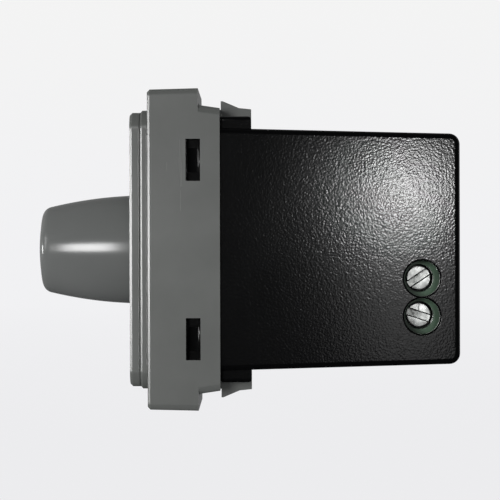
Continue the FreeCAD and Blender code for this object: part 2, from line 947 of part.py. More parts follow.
def switch_plunger():
    """Plunger that the shaft's end pushes."""
    front = shaft_rear + skin_gap
    stem = rod(plunger_stem_radius, (0, front, 0), (0, plunger_flange_front, 0))
    flange_radius = chamber_radius - running_gap
    flange = rod(flange_radius, (0, plunger_flange_front, 0), (0, plunger_flange_rear, 0))
    tail = plunger_flange_rear + plunger_spigot_length
    spigot = rod(plunger_spigot_radius, (0, plunger_flange_rear, 0), (0, tail, 0))
    return stem.fuse([flange, spigot]).removeSplitter()


def switch_spring():
    """Helical return spring between the plunger and the chamber's end."""
    start = plunger_flange_rear + spring_wire_radius
    height = chamber_end - spring_wire_radius - start
    helix = Part.makeHelix(height / spring_turns, height, spring_mean_radius)
    corners = []
    for index in range(spring_wire_sides + 1):
        angle = 2 * pi * index / spring_wire_sides
        out = spring_mean_radius + spring_wire_radius * cos(angle)
        corners.append(Vector(out, 0, spring_wire_radius * sin(angle)))
    section = Part.makePolygon(corners)
    coil = Part.Wire(helix).makePipeShell([section], True, True)
    coil.rotate(Vector(0, 0, 0), Vector(1, 0, 0), -90)
    coil.translate(Vector(0, start, 0))
    return coil


def switch_blade(side, gap):
    """One flat terminal on the switch's rear face."""
    middle = side * switch_terminal_pitch / 2
    half = switch_terminal_width / 2 + gap
    return box(
        (lead_end - gap, board_top + switch_terminal_length),
        (switch_rear - gap, switch_rear + switch_terminal_thickness + gap),
        (middle - half, middle + half),
    )


def switch_terminals():
    """Two blades soldered into the board."""
    return Part.makeCompound([switch_blade(side, 0.0) for side in (1, -1)])


# Circuit board

def lead(spot, top, gap=0.0):
    """Square lead from a height above the board down through it."""
    depth, height = spot
    half = lead_width / 2 + gap
    return box((lead_end - gap, top), (depth - half, depth + half), (height - half, height + half))


def paired_spots(spot, pitch, along_depth):
    """Two lead spots on each side of a part's middle."""
    half = pitch / 2
    if along_depth:
        return [(spot[0] - half, spot[1]), (spot[0] + half, spot[1])]
    return [(spot[0], spot[1] - half), (spot[0], spot[1] + half)]


def choke_leads():
    return paired_spots(choke_spot, choke_lead_pitch, True)


def film_leads():
    return paired_spots(film_spot, film_lead_pitch, True)


def smoothing_leads():
    return paired_spots(smoothing_spot, smoothing_lead_pitch, True)


def varistor_leads():
    return paired_spots(varistor_spot, varistor_lead_pitch, False)


def fuse_leads():
    return paired_spots(fuse_spot, fuse_length + 2 * fuse_lead_run, False)


def sink_leads():
    return paired_spots(sink_spot, sink_lead_pitch, True)


def transistor_depths():
    """Places of the two transistors along the heat sink."""
    half = transistor_pitch / 2
    return (sink_spot[0] - half, sink_spot[0] + half)


def transistor_height():
    """Height of the transistors' middle, below the heat sink."""
    return sink_spot[1] - sink_thickness / 2 - transistor_thickness / 2


def transistor_leads():
    spots = []
    for depth in transistor_depths():
        for step in (-1, 0, 1):
            spots.append((depth + step * transistor_lead_pitch, transistor_height()))
    return spots


def strip_foot(height, gap):
    """Leg of one terminal strip, from the block's front down through the board."""
    half = strip_width / 2 + gap
    front = block_front - strip_foot_gap - strip_thickness
    return box(
        (lead_end - gap, strip_top),
        (front - gap, front + strip_thickness + gap),
        (height - half, height + half),
    )


def main_board():
    """Circuit board with a hole for each lead."""
    half = board_height / 2
    board = box((board_under, board_top), (board_front, board_rear), (-half, half))
    holes = []
    spots = choke_leads() + film_leads() + smoothing_leads() + varistor_leads()
    spots += fuse_leads() + sink_leads() + transistor_leads()
    holes.extend(lead(spot, board_top + 1, lead_hole_gap) for spot in spots)
    holes.extend(track_lug(height, lead_hole_gap) for height in lug_heights())
    holes.extend(switch_blade(side, lead_hole_gap) for side in (1, -1))
    holes.extend(strip_foot(height, lead_hole_gap) for height in (upper_screw_height, lower_screw_height))
    return board.cut(holes)


def insulating_sheet():
    """Fibre sheet between the board's solder side and the housing."""
    front = shoulder_depth + 2 * housing_wall
    half = rail_line
    x_span = (-housing_inside, -housing_inside + sheet_thickness)
    return box(x_span, (front, board_rear), (-half, half))


# Parts on the board

def choke_core():
    """Ferrite bobbin of the suppression choke."""
    depth, height = choke_spot
    top = board_top + choke_length
    foot = (board_top, depth, height)
    head = (top, depth, height)
    lower = rod(choke_radius, foot, (board_top + choke_flange_thickness, depth, height))
    upper = rod(choke_radius, (top - choke_flange_thickness, depth, height), head)
    post = rod(choke_core_radius, foot, head)
    holes = [lead(spot, top, choke_lead_gap) for spot in choke_leads()]
    return lower.cut(holes).fuse([upper, post]).removeSplitter()


def choke_winding():
    """Copper winding round the bobbin, with its two leads."""
    depth, height = choke_spot
    low = board_top + choke_flange_thickness
    high = board_top + choke_length - choke_flange_thickness
    coil = tube(choke_winding_radius, choke_core_radius, (low, depth, height), (high, depth, height))
    return coil.fuse([lead(spot, low + choke_flange_thickness) for spot in choke_leads()]).removeSplitter()


def film_capacitor():
    """Boxed film capacitor."""
    depth, height = film_spot
    can = box(
        (board_top, board_top + film_tall),
        (depth - film_length / 2, depth + film_length / 2),
        (height - film_width / 2, height + film_width / 2),
    )
    can = can.makeChamfer(film_edge, edges_at(can, "X", board_top + film_tall))
    return can.fuse([lead(spot, board_top + 1) for spot in film_leads()])


def smoothing_capacitor():
    """Electrolytic can standing on the board."""
    depth, height = smoothing_spot
    top = board_top + smoothing_tall
    can = rod(smoothing_radius, (board_top, depth, height), (top, depth, height))
    can = can.makeChamfer(smoothing_edge, edges_at(can, "X", top))
    return can.fuse([lead(spot, board_top + 1) for spot in smoothing_leads()])


def varistor():
    """Round surge absorber standing on its leads."""
    depth, height = varistor_spot
    middle = board_top + varistor_standoff + varistor_radius
    half = varistor_thickness / 2
    disc = rod(varistor_radius, (middle, depth - half, height), (middle, depth + half, height))
    rims = edges_at(disc, "Y", depth - half) + edges_at(disc, "Y", depth + half)
    disc = disc.makeChamfer(varistor_edge, rims)
    return disc.fuse([lead(spot, middle) for spot in varistor_leads()])


def fuse():
    """Axial fuse with its leads bent down into the board."""
    depth, height = fuse_spot
    middle = board_top + fuse_standoff + fuse_radius
    half = fuse_length / 2
    reach = half + fuse_lead_run
    body = rod(fuse_radius, (middle, depth, height - half), (middle, depth, height + half))
    thick = lead_width / 2
    span = (height - reach - thick, height + reach + thick)
    bar = box((middle - thick, middle + thick), (depth - thick, depth + thick), span)
    legs = [lead(spot, middle) for spot in fuse_leads()]
    return body.fuse([bar] + legs).removeSplitter()


def heat_sink():
    """Aluminium plate behind the transistors, soldered by two tags."""
    depth, height = sink_spot
    half = sink_thickness / 2
    plate = box(
        (board_top, board_top + sink_tall),
        (depth - sink_length / 2, depth + sink_length / 2),
        (height - half, height + half),
    )
    return plate.fuse([lead(spot, board_top + 1) for spot in sink_leads()])


def power_transistors():
    """Two transistors lying against the heat sink."""
    sink_face = sink_spot[1] - sink_thickness / 2
    low = board_top + transistor_lift
    high = low + transistor_tall
    pair = []
    for depth in transistor_depths():
        body = box(
            (low, high),
            (depth - transistor_width / 2, depth + transistor_width / 2),
            (sink_face - transistor_thickness, sink_face),
        )
        tab = box(
            (high, high + transistor_tab_tall),
            (depth - transistor_tab_width / 2, depth + transistor_tab_width / 2),
            (sink_face - transistor_tab_thickness, sink_face),
        )
        legs = [lead(spot, low + 1) for spot in transistor_leads() if abs(spot[0] - depth) < 3]
        pair.append(body.fuse([tab] + legs).removeSplitter())
    return Part.makeCompound(pair)


def controller_chip():
    """Surface-mounted controller with its rows of pins."""
    depth, height = chip_spot
    body = box(
        (board_top, board_top + chip_tall),
        (depth - chip_length / 2, depth + chip_length / 2),
        (height - chip_width / 2, height + chip_width / 2),
    )
    reach = chip_width / 2 + chip_pin_reach
    pins = []
    for index in range(chip_pin_count):
        middle = depth + (index - (chip_pin_count - 1) / 2) * chip_pin_pitch
        y_span = (middle - chip_pin_width / 2, middle + chip_pin_width / 2)
        x_span = (board_top, board_top + chip_pin_width / 2)
        pins.append(box(x_span, y_span, (height - reach, height + reach)))
    return body.fuse(pins).removeSplitter()


# Terminals

def terminal_block():
    """Green moulding with a screw shaft, cage chamber and wire entry for each terminal."""
    half = block_height / 2
    heights = (block_middle_height - half, block_middle_height + half)
    body = box((board_top, block_top), (block_front, block_rear), heights)
    nose_half = half - block_end_wall / 2
    nose = box(
        (wire_height - nose_width / 2, wire_height + nose_width / 2),
        (block_rear - 1, housing_rear - nose_inset),
        (block_middle_height - nose_half, block_middle_height + nose_half),
    )
    body = body.fuse(nose).removeSplitter()
    cuts = []
    for height in (upper_screw_height, lower_screw_height):
        room = chamber_width / 2
        span = (height - room, height + room)
        chamber = box((board_top - 1, web_under), (chamber_front, chamber_rear), span)
        neck_radius = screw_radius + 2 * running_gap
        neck = rod(neck_radius, (0, screw_depth, height), (block_top, screw_depth, height))
        recess = rod(
            screw_head_radius + head_recess_gap,
            (web_top, screw_depth, height),
            (block_top + 1, screw_depth, height),
        )
        mouth = housing_rear - nose_inset
        inner_end = (wire_height, chamber_rear - 1, height)
        entry = rod(wire_entry_radius, inner_end, (wire_height, mouth + 1, height))
        funnel = Part.makeCone(
            wire_entry_radius,
            wire_entry_radius + wire_funnel,
            wire_funnel,
            Vector(wire_height, mouth - wire_funnel, height),
            Vector(0, 1, 0),
        )
        half_strip = strip_width / 2 + skin_gap
        slot = box(
            (strip_bottom - skin_gap, strip_top + skin_gap),
            (block_front - 1, chamber_front + 1),
            (height - half_strip, height + half_strip),
        )
        cuts.extend([chamber, neck, recess, entry, funnel, slot])
    return body.cut(cuts)


def terminal_strips():
    """Two bent brass strips from the cages to the board."""
    strips = []
    rear = chamber_rear - slide_gap
    half = strip_width / 2
    front = block_front - strip_foot_gap - strip_thickness
    for height in (upper_screw_height, lower_screw_height):
        tongue = box((strip_bottom, strip_top), (front, rear), (height - half, height + half))
        strips.append(tongue.fuse(strip_foot(height, 0.0)).removeSplitter())
    return Part.makeCompound(strips)


def terminal_screw(height, slot_angle):
    """Slotted cheese-head screw that turns in place."""
    head = rod(
        screw_head_radius, (head_underside, screw_depth, height), (screw_head_top, screw_depth, height)
    )
    head = head.makeChamfer(screw_head_edge, edges_at(head, "X", screw_head_top))
    tip = head_underside - screw_length
    shank = rod(screw_radius, (tip, screw_depth, height), (head_underside, screw_depth, height))
    reach = 2 * screw_head_radius
    slot = box(
        (screw_head_top - screw_slot_depth, screw_head_top + 1),
        (screw_depth - reach, screw_depth + reach),
        (height - screw_slot_width / 2, height + screw_slot_width / 2),
    )
    slot.rotate(Vector(0, screw_depth, height), Vector(1, 0, 0), slot_angle)
    return head.fuse(shank).cut(slot).removeSplitter()


def lift_cage(height):
    """Plated cage that rises on the screw and clamps the wire under the strip."""
    half = cage_width / 2
    y_span = (screw_depth - cage_depth / 2, screw_depth + cage_depth / 2)
    cage = box((cage_bottom, cage_top), y_span, (height - half, height + half))
    opening = half - cage_side_wall
    window = box(
        (cage_bottom + cage_floor, cage_top - cage_top_wall),
        (y_span[0] - 1, y_span[1] + 1),
        (height - opening, height + opening),
    )
    thread_start = (cage_top - cage_top_wall - 1, screw_depth, height)
    thread = rod(screw_radius + running_gap, thread_start, (cage_top + 1, screw_depth, height))
    return cage.cut([window, thread])


def pieces():
    """Every piece of the module by its node name."""
    return {
        "front_frame": front_frame(),
        "upper_latch": upper_latch(),
        "lower_latch": lower_latch(),
        "rear_housing": rear_housing(),
        "knob": knob(),
        "knob_spring_clip": knob_spring_clip(),
        "control_shaft": control_shaft(),
        "control_bushing": control_bushing(),
        "lock_washer": lock_washer(),
        "control_nut": control_nut(),
        "control_case": control_case(),
        "wiper_rotor": wiper_rotor(),
        "wiper_contact": wiper_contact(),
        "resistive_track": resistive_track(),
        "track_wafer": track_wafer(),
        "track_terminals": track_terminals(),
        "switch_cover": switch_cover(),
        "switch_base": switch_base(),
        "switch_plunger": switch_plunger(),
        "switch_spring": switch_spring(),
        "switch_terminals": switch_terminals(),
        "main_board": main_board(),
        "insulating_sheet": insulating_sheet(),
        "choke_core": choke_core(),
        "choke_winding": choke_winding(),
        "film_capacitor": film_capacitor(),
        "smoothing_capacitor": smoothing_capacitor(),
        "varistor": varistor(),
        "fuse": fuse(),
        "heat_sink": heat_sink(),
        "power_transistors": power_transistors(),
        "controller_chip": controller_chip(),
        "terminal_block": terminal_block(),
        "terminal_strips": terminal_strips(),
        "upper_terminal_screw": terminal_screw(upper_screw_height, upper_slot_angle),
        "lower_terminal_screw": terminal_screw(lower_screw_height, lower_slot_angle),
        "upper_lift_cage": lift_cage(upper_screw_height),
        "lower_lift_cage": lift_cage(lower_screw_height),
    }


os.makedirs("parts", exist_ok=True)
for name, shape in pieces().items():
    shape.exportStep("parts/" + name + ".step")
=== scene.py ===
import bmesh
import bpy
from math import cos, pi, radians, sin, tau
from mathutils import Matrix, Vector


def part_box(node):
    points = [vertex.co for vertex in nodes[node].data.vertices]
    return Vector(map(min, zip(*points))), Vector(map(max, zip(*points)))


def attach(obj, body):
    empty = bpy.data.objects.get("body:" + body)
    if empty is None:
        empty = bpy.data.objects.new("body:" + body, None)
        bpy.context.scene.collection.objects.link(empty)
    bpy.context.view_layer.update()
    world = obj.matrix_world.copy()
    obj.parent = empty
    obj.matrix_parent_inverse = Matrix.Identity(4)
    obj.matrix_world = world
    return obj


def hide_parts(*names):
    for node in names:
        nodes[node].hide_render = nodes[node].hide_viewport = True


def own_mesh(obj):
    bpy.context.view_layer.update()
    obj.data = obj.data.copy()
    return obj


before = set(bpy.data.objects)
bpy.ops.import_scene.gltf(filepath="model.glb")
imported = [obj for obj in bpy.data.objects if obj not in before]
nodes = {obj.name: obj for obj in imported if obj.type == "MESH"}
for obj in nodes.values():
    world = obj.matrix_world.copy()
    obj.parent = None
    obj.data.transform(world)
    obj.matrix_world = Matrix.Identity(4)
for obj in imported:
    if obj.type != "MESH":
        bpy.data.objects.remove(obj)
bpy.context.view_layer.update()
MM = 0.001


# Front frame
# One grey moulding in filled nylon: flange, stepped bezel, knob well and shoulder. It is
# satin, with a fine spark grain, slightly round edges that are paler (partly wear, partly a
# painted highlight) and a thin bead round each bezel step.

def put(tree, kind, feeds=None, **settings):
    """A new shader node with its settings, and a value or a link for each input."""
    node = tree.nodes.new("ShaderNode" + kind)
    for name, value in settings.items():
        setattr(node, name, value)
    for name, value in (feeds or {}).items():
        if isinstance(value, bpy.types.NodeSocket):
            tree.links.new(value, node.inputs[name])
        else:
            node.inputs[name].default_value = value
    return node


def reckon(tree, operation, first, second):
    """Result of one sum on two values or links."""
    return put(tree, "Math", {0: first, 1: second}, operation=operation).outputs["Value"]


def blended(tree, share, first, second):
    """Colour between two colours."""
    return put(tree, "Mix", {0: share, 6: first, 7: second}, data_type="RGBA").outputs[2]


def effect(name, inputs, outputs):
    """A new shader group with named sockets: its tree, what comes in and what goes out."""
    tree = bpy.data.node_groups.new(name, "ShaderNodeTree")
    for label, value in inputs.items():
        kind = "NodeSocketColor" if isinstance(value, tuple) else "NodeSocketFloat"
        tree.interface.new_socket(label, in_out="INPUT", socket_type=kind).default_value = value
    for label, kind in outputs.items():
        tree.interface.new_socket(label, in_out="OUTPUT", socket_type="NodeSocket" + kind)
    return tree, tree.nodes.new("NodeGroupInput").outputs, tree.nodes.new("NodeGroupOutput").inputs


def use(tree, group, feeds):
    """One copy of a shader group in a material, with its own values."""
    node = tree.nodes.new("ShaderNodeGroup")
    node.node_tree = group
    for name, value in feeds.items():
        node.inputs[name].default_value = value
    return node.outputs


def own_place(tree):
    """The surface's own coordinates, which move with the piece."""
    return put(tree, "TexCoord").outputs["Object"]


grain, grain_in, grain_out = effect(
    "spark grain", {"Per metre": 2500.0, "Octaves": 4.0}, {"Height": "Float"}
)
grain_cells = put(
    grain, "TexVoronoi",
    {"Vector": own_place(grain), "Scale": grain_in["Per metre"], "Smoothness": 0.6},
    feature="SMOOTH_F1",
)
grain_noise = put(grain, "TexNoise", {
    "Vector": own_place(grain), "Scale": grain_in["Per metre"], "Detail": grain_in["Octaves"],
    "Roughness": 0.7,
})
grain_soft_cells = reckon(grain, "MULTIPLY", grain_cells.outputs["Distance"], 0.5)
grain_height = reckon(grain, "ADD", grain_soft_cells, grain_noise.outputs["Fac"])
grain.links.new(grain_height, grain_out["Height"])

wear, wear_in, wear_out = effect(
    "edge wear", {"Reach": 0.0001, "Patches": 900.0}, {"Mask": "Float"}
)
wear_rounded = put(wear, "Bevel", {"Radius": wear_in["Reach"]}, samples=6).outputs["Normal"]
wear_facing = put(wear, "NewGeometry").outputs["Normal"]
wear_dot = put(wear, "VectorMath", {0: wear_rounded, 1: wear_facing}, operation="DOT_PRODUCT")
wear_bend = put(
    wear, "MapRange", {"Value": wear_dot.outputs["Value"], "From Min": 0.995, "From Max": 0.8}
).outputs["Result"]
wear_patches = put(
    wear, "TexNoise", {"Vector": own_place(wear), "Scale": wear_in["Patches"], "Detail": 3.0}
).outputs["Fac"]
wear.links.new(reckon(wear, "MULTIPLY", wear_bend, wear_patches), wear_out["Mask"])

marks, marks_in, marks_out = effect(
    "handling marks", {"Per metre": 60.0, "Stretch": 14.0},
    {"Scratches": "Float", "Smudges": "Float"},
)
marks_stretch = put(
    marks, "CombineXYZ", {"X": 1.0, "Y": marks_in["Stretch"], "Z": 0.6}
).outputs["Vector"]
marks_stretched = put(marks, "Mapping", {
    "Vector": own_place(marks), "Rotation": (0.03, 0.02, 0.04), "Scale": marks_stretch,
})
marks_lines = put(marks, "TexNoise", {
    "Vector": marks_stretched.outputs["Vector"], "Scale": marks_in["Per metre"], "Detail": 4.0,
}).outputs["Fac"]
marks_few = put(
    marks, "MapRange", {"Value": marks_lines, "From Min": 0.58, "From Max": 0.72}
).outputs["Result"]
marks_clouds = put(
    marks, "TexNoise", {"Vector": own_place(marks), "Scale": marks_in["Per metre"], "Detail": 3.0}
).outputs["Fac"]
marks.links.new(marks_few, marks_out["Scratches"])
marks.links.new(marks_clouds, marks_out["Smudges"])

beads, beads_in, beads_out = effect(
    "moulded bead", {"Depth": 0.0, "Half width": 0.0001}, {"Height": "Float"}
)
beads_depth = put(beads, "SeparateXYZ", {"Vector": own_place(beads)}).outputs["Y"]
beads_off = reckon(beads, "ABSOLUTE", reckon(beads, "SUBTRACT", beads_depth, beads_in["Depth"]), 0.0)
beads_share = reckon(beads, "DIVIDE", beads_off, beads_in["Half width"])
beads_rise = reckon(beads, "SUBTRACT", 1.0, beads_share)
beads.links.new(reckon(beads, "MAXIMUM", beads_rise, 0.0), beads_out["Height"])

# Painted shade: darkens a surface near walls and in recesses, where shade falls, by ambient occlusion.
recess_shade, recess_shade_in, recess_shade_out = effect("painted recess shade", {"Reach": 0.002, "Depth": 3.0}, {"Mask": "Float"})
recess_openness = put(recess_shade, "AmbientOcclusion", {"Distance": recess_shade_in["Reach"]}, samples=8).outputs["AO"]
recess_clearness = reckon(recess_shade, "POWER", recess_openness, recess_shade_in["Depth"])
recess_shade.links.new(reckon(recess_shade, "SUBTRACT", 1.0, recess_clearness), recess_shade_out["Mask"])

tint, tint_in, tint_out = effect(
    "uneven colour", {"Colour": (0.5, 0.5, 0.5, 1.0), "Drift": 0.05, "Per metre": 90.0},
    {"Colour": "Color"},
)
tint_noise_gain = 4.0
tint_clouds = put(
    tint, "TexNoise", {"Vector": own_place(tint), "Scale": tint_in["Per metre"], "Detail": 4.0}
).outputs["Fac"]
tint_swing = reckon(tint, "MULTIPLY", reckon(tint, "SUBTRACT", tint_clouds, 0.5), tint_in["Drift"])
tint_level = reckon(tint, "ADD", reckon(tint, "MULTIPLY", tint_swing, tint_noise_gain), 1.0)
tint_shade = put(
    tint, "VectorMath", {0: tint_in["Colour"], "Scale": tint_level}, operation="SCALE"
).outputs["Vector"]
tint.links.new(tint_shade, tint_out["Colour"])


def plastic(
    name, colour, roughness, grain_rate, grain_height,
    pale_edge_share=0.25, drift=0.05, painted_shade_reach=0.0, octaves=4.0, beaded=(),
):
    """Moulded plastic: uneven colour, spark grain, handling marks, paler edges (worn, and where raised
    a painted highlight) and painted shade in recesses where asked.
    """
    edge_reach = 0.12 * MM
    edge_paleness = 0.35
    painted_shade_share = 0.95
    painted_shade_colour = (0.003, 0.003, 0.003, 1.0)
    marks_rate = 70.0
    scuff_share = 0.05
    smudge_share = 0.3
    bead_half_width = 0.16 * MM
    bead_height = 0.2 * MM
    material = bpy.data.materials.new(name)
    material.use_nodes = True
    tree = material.node_tree
    shader = tree.nodes["Principled BSDF"]
    shade = use(tree, tint, {"Colour": (*colour, 1.0), "Drift": drift})["Colour"]
    # Paler edges: wear, and where their share is raised, a painted highlight along the rounded edges.
    worn_edges = use(tree, wear, {"Reach": edge_reach})["Mask"]
    pale = tuple(edge_paleness + (1.0 - edge_paleness) * part for part in colour)
    edge_share = reckon(tree, "MULTIPLY", worn_edges, pale_edge_share)
    finish = blended(tree, edge_share, shade, (*pale, 1.0))
    # Painted shade: near-black colour blended in near walls and in recesses.
    if painted_shade_reach:
        shaded_recesses = use(tree, recess_shade, {"Reach": painted_shade_reach})["Mask"]
        finish = blended(tree, reckon(tree, "MULTIPLY", shaded_recesses, painted_shade_share), finish, painted_shade_colour)
    tree.links.new(finish, shader.inputs["Base Color"])
    handled = use(tree, marks, {"Per metre": marks_rate})
    scuffs = reckon(tree, "MULTIPLY", handled["Scratches"], scuff_share * roughness)
    clouds = reckon(tree, "SUBTRACT", handled["Smudges"], 0.5)
    smudges = reckon(tree, "MULTIPLY", clouds, smudge_share * roughness)
    level = reckon(tree, "ADD", reckon(tree, "ADD", scuffs, smudges), roughness)
    tree.links.new(level, shader.inputs["Roughness"])
    height = use(tree, grain, {"Per metre": grain_rate, "Octaves": octaves})["Height"]
    normal = put(tree, "Bump", {"Height": height, "Distance": grain_height}).outputs["Normal"]
    for depth in beaded:
        ridge = use(tree, beads, {"Depth": depth, "Half width": bead_half_width})["Height"]
        normal = put(
            tree, "Bump", {"Height": ridge, "Distance": bead_height, "Normal": normal}
        ).outputs["Normal"]
    tree.links.new(normal, shader.inputs["Normal"])
    return material


def dress(node, material, rounding=0.0, sharp_at=None):
    """Gives a node its finish and rounds its edges where asked, but for those at one depth."""
    piece = nodes[node]
    piece.data.materials.clear()
    piece.data.materials.append(material)
    if not rounding:
        return
    piece.data.polygons.foreach_set("use_smooth", [True] * len(piece.data.polygons))
    weld = piece.modifiers.new("weld", "WELD")
    weld.merge_threshold = 0.001 * MM
    flats = piece.modifiers.new("whole flats", "DECIMATE")
    flats.decimate_type = "DISSOLVE"
    flats.angle_limit = radians(0.5)
    bevel = piece.modifiers.new("round edges", "BEVEL")
    bevel.width = rounding
    bevel.segments = 3
    bevel.limit_method = "ANGLE"
    bevel.angle_limit = radians(28)
    if sharp_at is not None:
        clear = 0.05 * MM
        depths = [(piece.matrix_world @ vertex.co).y for vertex in piece.data.vertices]
        rounded = [index for index, depth in enumerate(depths) if abs(depth - sharp_at) > clear]
        piece.vertex_groups.new(name="rounded").add(rounded, 1.0, "ADD")
        bevel.vertex_group = "rounded"
    piece.modifiers.new("even shading", "WEIGHTED_NORMAL")


frame_grey = (0.108, 0.113, 0.108)
bead_depths = (-9.27 * MM, -8.02 * MM)
# The frame's edges are paled more than on other plastics: partly wear, partly a painted highlight along
# its rounded edges.
frame_plastic = plastic(
    "grey moulding", frame_grey, roughness=0.26, grain_rate=2600.0, grain_height=0.0015 * MM,
    pale_edge_share=0.35, drift=0.12, beaded=bead_depths,
)
dress("front_frame", frame_plastic, rounding=0.22 * MM)


# Latches
# Two tongues of the same grey plastic. Each hangs on two short pins, so that its barb
# can dip past the edge of the opening and spring out behind it.
latch_plastic = plastic(
    "grey latches", frame_grey, roughness=0.26, grain_rate=2600.0, grain_height=0.0015 * MM, pale_edge_share=0.4,
)
for node in ("upper_latch", "lower_latch"):
    dress(node, latch_plastic, rounding=0.08 * MM)


# Bushing, washer and nut
# A nickel-plated brass sleeve carries the shaft. A toothed washer in zinc-plated steel and
# a thin hexagon nut clamp it in the knob's well.

def metal(name, colour, roughness, drift=0.12, clouded=0.2, pale_edge_share=0.3):
    """Plated metal: patchy plating, fine scratches and polished edges."""
    patches_rate = 1200.0
    edge_reach = 0.1 * MM
    edge_polish = 1.25
    marks_rate = 900.0
    marks_stretch = 2.0
    grain_rate = 6000.0
    grain_height = 0.003 * MM
    material = bpy.data.materials.new(name)
    material.use_nodes = True
    tree = material.node_tree
    shader = tree.nodes["Principled BSDF"]
    shade = use(
        tree, tint, {"Colour": (*colour, 1.0), "Drift": drift, "Per metre": patches_rate}
    )["Colour"]
    worn_edges = use(tree, wear, {"Reach": edge_reach})["Mask"]
    bright = tuple(min(1.0, edge_polish * part) for part in colour)
    edge_share = reckon(tree, "MULTIPLY", worn_edges, pale_edge_share)
    tree.links.new(blended(tree, edge_share, shade, (*bright, 1.0)), shader.inputs["Base Color"])
    handled = use(tree, marks, {"Per metre": marks_rate, "Stretch": marks_stretch})
    scuffs = reckon(tree, "MULTIPLY", handled["Scratches"], clouded)
    clouds = reckon(tree, "MULTIPLY", reckon(tree, "SUBTRACT", handled["Smudges"], 0.5), clouded)
    level = reckon(tree, "ADD", reckon(tree, "ADD", scuffs, clouds), roughness)
    tree.links.new(level, shader.inputs["Roughness"])
    height = use(tree, grain, {"Per metre": grain_rate})["Height"]
    bump = put(tree, "Bump", {"Height": height, "Distance": grain_height})
    tree.links.new(bump.outputs["Normal"], shader.inputs["Normal"])
    shader.inputs["Metallic"].default_value = 1.0
    return material


nickel = metal("nickel plate", (0.62, 0.58, 0.5), roughness=0.28)
zinc = metal("zinc plate", (0.62, 0.63, 0.61), roughness=0.34)
dress("control_bushing", nickel, rounding=0.06 * MM)
dress("lock_washer", zinc)
dress("control_nut", nickel, rounding=0.12 * MM)


# Rotary control
# A zinc-plated cup holds a wiper rotor. Its sprung contact runs on a printed carbon arc,
# on a laminate wafer with three tinned lugs.
dark_plastic = plastic(
    "dark glass-filled plastic", (0.02, 0.02, 0.022), roughness=0.45, grain_rate=2600.0,
    grain_height=0.003 * MM,
)
spring_brass = metal("spring brass", (0.78, 0.56, 0.28), roughness=0.3)
tinned = metal("tinned brass", (0.66, 0.65, 0.62), roughness=0.36)
carbon = plastic(
    "carbon track", (0.01, 0.01, 0.011), roughness=0.55, grain_rate=9000.0,
    grain_height=0.002 * MM, pale_edge_share=0.0, drift=0.2,
)
laminate = plastic(
    "paper laminate", (0.36, 0.21, 0.1), roughness=0.5, grain_rate=3500.0,
    grain_height=0.004 * MM, pale_edge_share=0.1, drift=0.1,
)
dress("control_case", zinc, rounding=0.1 * MM)
dress("wiper_rotor", dark_plastic, rounding=0.06 * MM)
dress("wiper_contact", spring_brass)
dress("resistive_track", carbon)
dress("track_wafer", laminate)
dress("track_terminals", tinned)


# Shaft and clip
# The control's plastic shaft has a flat at its front end. A strip of spring steel lies
# on the flat and jams against the knob's bore.
pale_plastic = plastic(
    "pale acetal", (0.7, 0.7, 0.67), roughness=0.36, grain_rate=2600.0,
    grain_height=0.002 * MM, pale_edge_share=0.05,
)
spring_steel = metal("spring steel", (0.5, 0.51, 0.53), roughness=0.25)
dress("control_shaft", pale_plastic, rounding=0.08 * MM)
dress("knob_spring_clip", spring_steel)


# Knob
# A hollow push knob moulded in grey ABS, with polished sides and a boss that grips the
# shaft. Its side swells slightly between foot and tip, and its face is a shallow dome.

def creased(mesh, sharp=35.0):
    """Smooth shading but for edges that bend sharply, with all faces looking out."""
    mesh.polygons.foreach_set("use_smooth", [True] * len(mesh.polygons))
    shape = bmesh.new()
    shape.from_mesh(mesh)
    bmesh.ops.recalc_face_normals(shape, faces=shape.faces)
    for edge in shape.edges:
        edge.smooth = len(edge.link_faces) != 2 or edge.calc_face_angle() < radians(sharp)
    shape.to_mesh(mesh)
    shape.free()


def new_piece(name, vertices, faces, material, body):
    """A mesh piece on its body with its finish."""
    mesh = bpy.data.meshes.new(name)
    mesh.from_pydata(vertices, [], faces)
    mesh.validate()
    mesh.materials.append(material)
    creased(mesh)
    piece = bpy.data.objects.new(name, mesh)
    bpy.context.scene.collection.objects.link(piece)
    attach(piece, body)
    return piece


def turned(outline, centre, axis, steps):
    """Corners and faces turned about an axis from (radius, distance along it) points."""
    on_axis = 0.0001 * MM
    along = Vector(axis)
    across = along.orthogonal().normalized()
    third = along.cross(across)
    vertices, faces, rings = [], [], []
    for radius, distance in outline:
        middle = Vector(centre) + along * distance
        if radius < on_axis:
            rings.append([len(vertices)] * steps)
            vertices.append(middle)
            continue
        rings.append([len(vertices) + index for index in range(steps)])
        for index in range(steps):
            turn = tau * index / steps
            vertices.append(middle + (across * cos(turn) + third * sin(turn)) * radius)
    for near, far in zip(rings, rings[1:]):
        for index in range(steps):
            following = (index + 1) % steps
            face = tuple(dict.fromkeys((near[index], far[index], far[following], near[following])))
            if len(face) > 2:
                faces.append(face)
    return vertices, faces


def arc(middle, radius, start, end, steps):
    """Points of an arc in a half section, from one angle in degrees to another."""
    angles = [radians(start + (end - start) * index / steps) for index in range(steps + 1)]
    return [(middle[0] + radius * cos(angle), middle[1] + radius * sin(angle)) for angle in angles]


